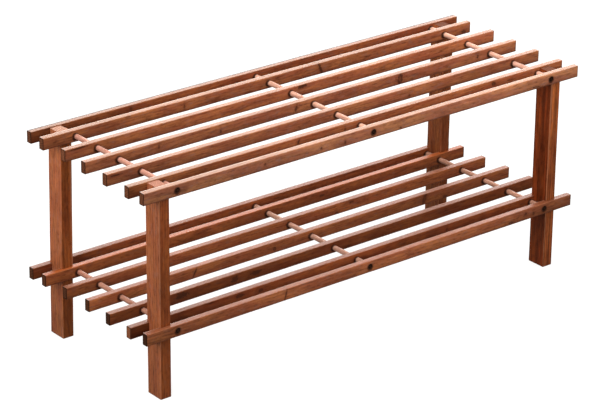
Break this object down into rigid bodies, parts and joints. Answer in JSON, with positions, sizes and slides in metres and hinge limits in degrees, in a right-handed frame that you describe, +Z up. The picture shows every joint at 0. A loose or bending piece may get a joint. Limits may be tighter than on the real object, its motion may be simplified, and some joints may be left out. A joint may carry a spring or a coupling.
{
  "type": "slatted bench rack",
  "caption": "Low two-tier wooden entryway bench with open slats on round cross dowels, held between four rectangular legs.",
  "frame": {"origin": "on the floor, under the middle of the rack", "axes": "+X along the slats, +Y from front to back, +Z up"},
  "size_m": [0.74, 0.26, 0.2965],
  "materials": {
    "slat_wood": "satin red-brown stain, rubbed lighter on the top edges",
    "leg_wood": "satin red-brown stain, streaky straight grain",
    "dowel_wood": "smooth satin, lighter red-brown stain",
    "brad_steel": "bright wire, hidden under filler"
  },
  "bodies": {
    "root": {"upper_slat_1": "slat_wood", "upper_slat_2": "slat_wood", "upper_slat_3": "slat_wood", "upper_slat_4": "slat_wood", "upper_slat_5": "slat_wood", "upper_slat_6": "slat_wood", "upper_slat_7": "slat_wood", "upper_dowel_left": "dowel_wood", "upper_dowel_centre": "dowel_wood", "upper_dowel_right": "dowel_wood", "upper_leg_brads": "brad_steel", "lower_slat_1": "slat_wood", "lower_slat_2": "slat_wood", "lower_slat_3": "slat_wood", "lower_slat_4": "slat_wood", "lower_slat_5": "slat_wood", "lower_slat_6": "slat_wood", "lower_slat_7": "slat_wood", "lower_dowel_left": "dowel_wood", "lower_dowel_centre": "dowel_wood", "lower_dowel_right": "dowel_wood", "lower_leg_brads": "brad_steel", "leg_rear_left": "leg_wood", "leg_rear_right": "leg_wood", "leg_front_left": "leg_wood", "leg_front_right": "leg_wood"}
  },
  "joints": []
}
